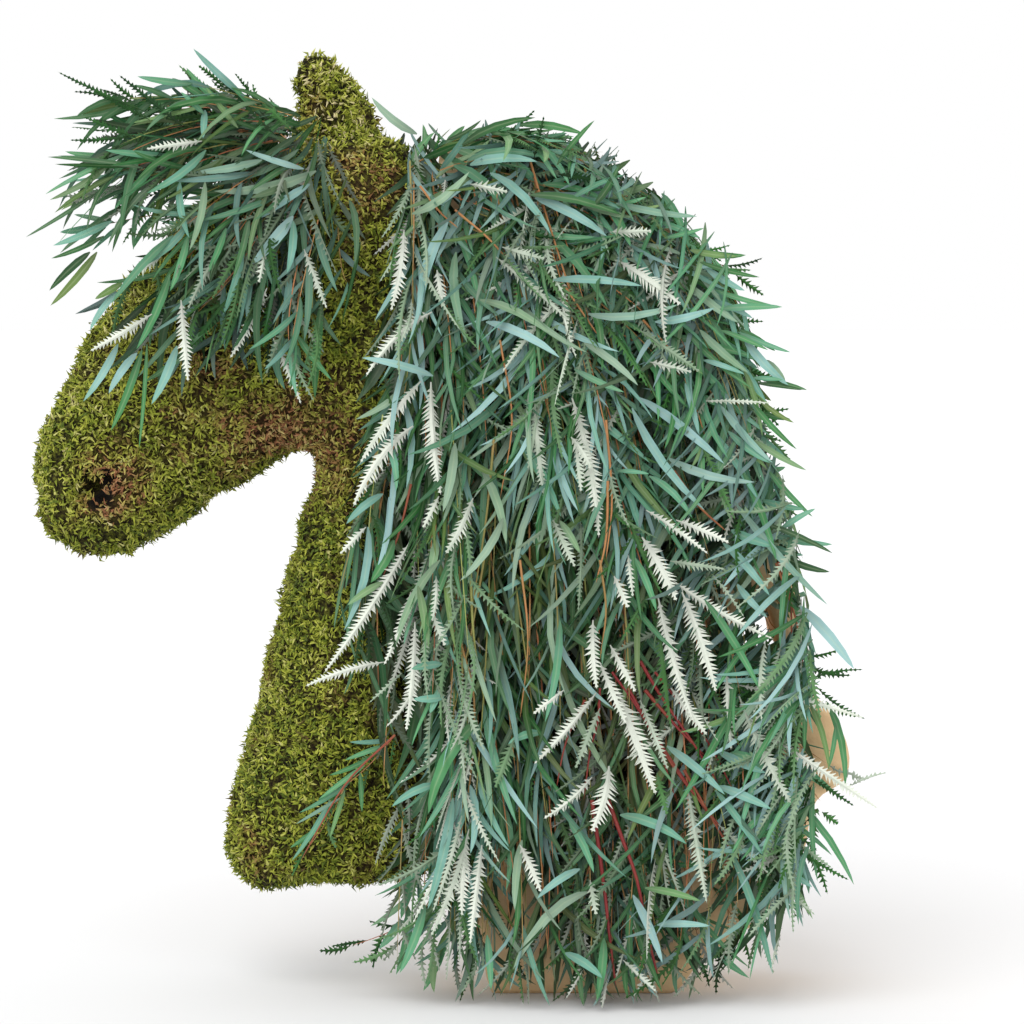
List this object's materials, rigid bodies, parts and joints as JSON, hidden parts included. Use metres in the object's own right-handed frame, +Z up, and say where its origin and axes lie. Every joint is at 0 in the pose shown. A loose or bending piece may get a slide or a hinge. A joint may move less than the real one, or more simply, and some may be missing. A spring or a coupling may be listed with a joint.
{
  "type": "moss horse sculpture",
  "caption": "Horse's head and neck covered in moss, with a forelock and a long mane of fresh foliage, standing on the flat foot of its moulded board form.",
  "frame": {"origin": "centre of the form's flat foot, on the floor", "axes": "+Z up; the horse faces -X; the full mane falls on the -Y side"},
  "size_m": [0.855, 0.3093, 0.935],
  "materials": {
    "moss": "matt, curly dried moss",
    "paper_board": "smooth matt tan board",
    "foliage": "fresh satin leaves, blue-green with silver undersides"
  },
  "bodies": {
    "root": {"forelock_far_lock_01": "foliage", "forelock_far_lock_02": "foliage", "forelock_far_lock_03": "foliage", "forelock_lock_01": "foliage", "forelock_lock_02": "foliage", "forelock_lock_03": "foliage", "forelock_lock_04": "foliage", "forelock_lock_05": "foliage", "mane_far_lock_01": "foliage", "mane_far_lock_02": "foliage", "mane_far_lock_03": "foliage", "mane_far_lock_04": "foliage", "mane_lock_01": "foliage", "mane_lock_02": "foliage", "mane_lock_03": "foliage", "mane_lock_04": "foliage", "mane_lock_05": "foliage", "mane_lock_06": "foliage", "mane_lock_07": "foliage", "mane_lock_08": "foliage", "mane_lock_09": "foliage", "mane_lock_10": "foliage", "moss_head": "moss", "neck_form": "paper_board"}
  },
  "joints": []
}
